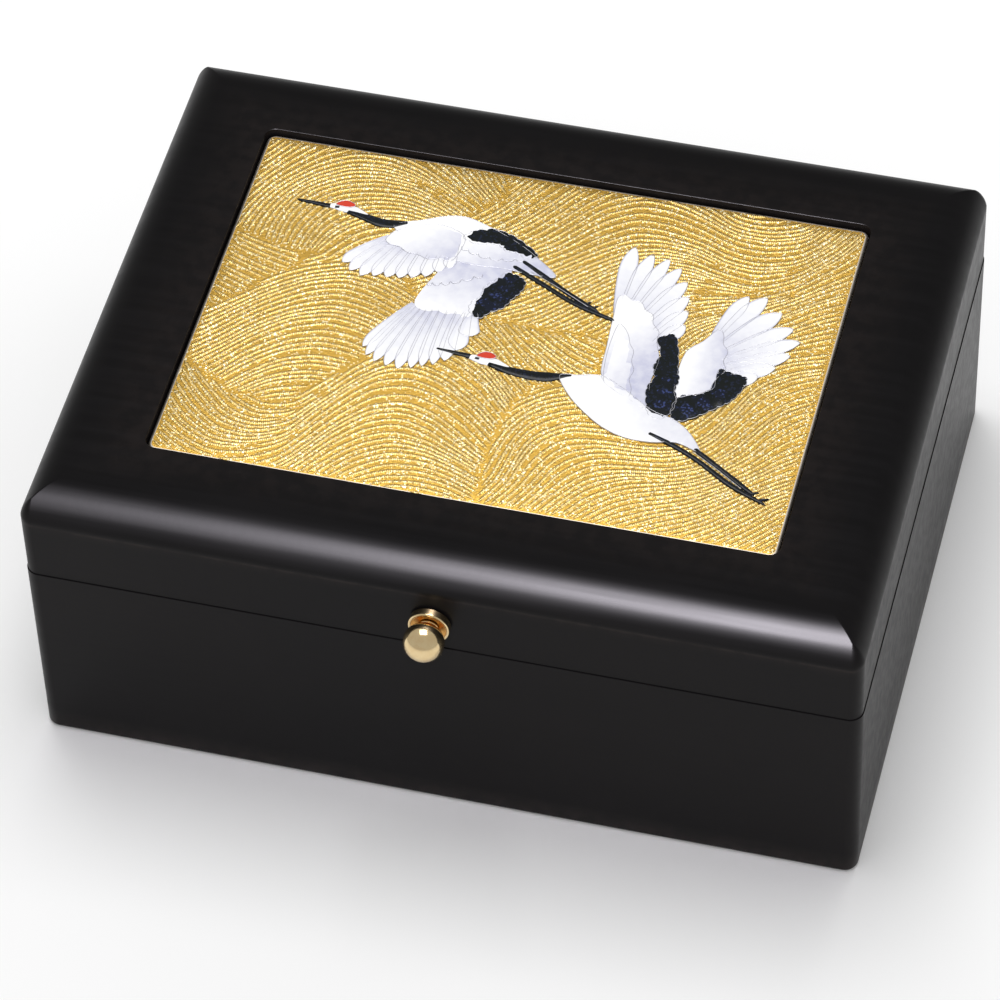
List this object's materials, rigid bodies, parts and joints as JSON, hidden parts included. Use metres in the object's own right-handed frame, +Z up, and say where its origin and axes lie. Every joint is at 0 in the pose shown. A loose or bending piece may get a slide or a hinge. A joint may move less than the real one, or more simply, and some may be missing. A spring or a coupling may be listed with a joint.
{
  "type": "cloisonne box",
  "caption": "Black lacquered wooden box with a lift-off lid, a cloisonne enamel plate of flying cranes let into the lid, and a small brass front knob.",
  "frame": {"origin": "centre of the box's underside", "axes": "+X along the length, -Y towards the front with the knob, +Z up"},
  "size_m": [0.2, 0.1624, 0.0835],
  "materials": {
    "lacquer": "satin black lacquer",
    "enamel": "polished cloisonne enamel over foil, with silver wires",
    "brass": "polished"
  },
  "bodies": {
    "root": {"base": "lacquer", "lid": "lacquer", "enamel_plate": "enamel", "knob_seat": "brass", "knob": "brass"}
  },
  "joints": []
}
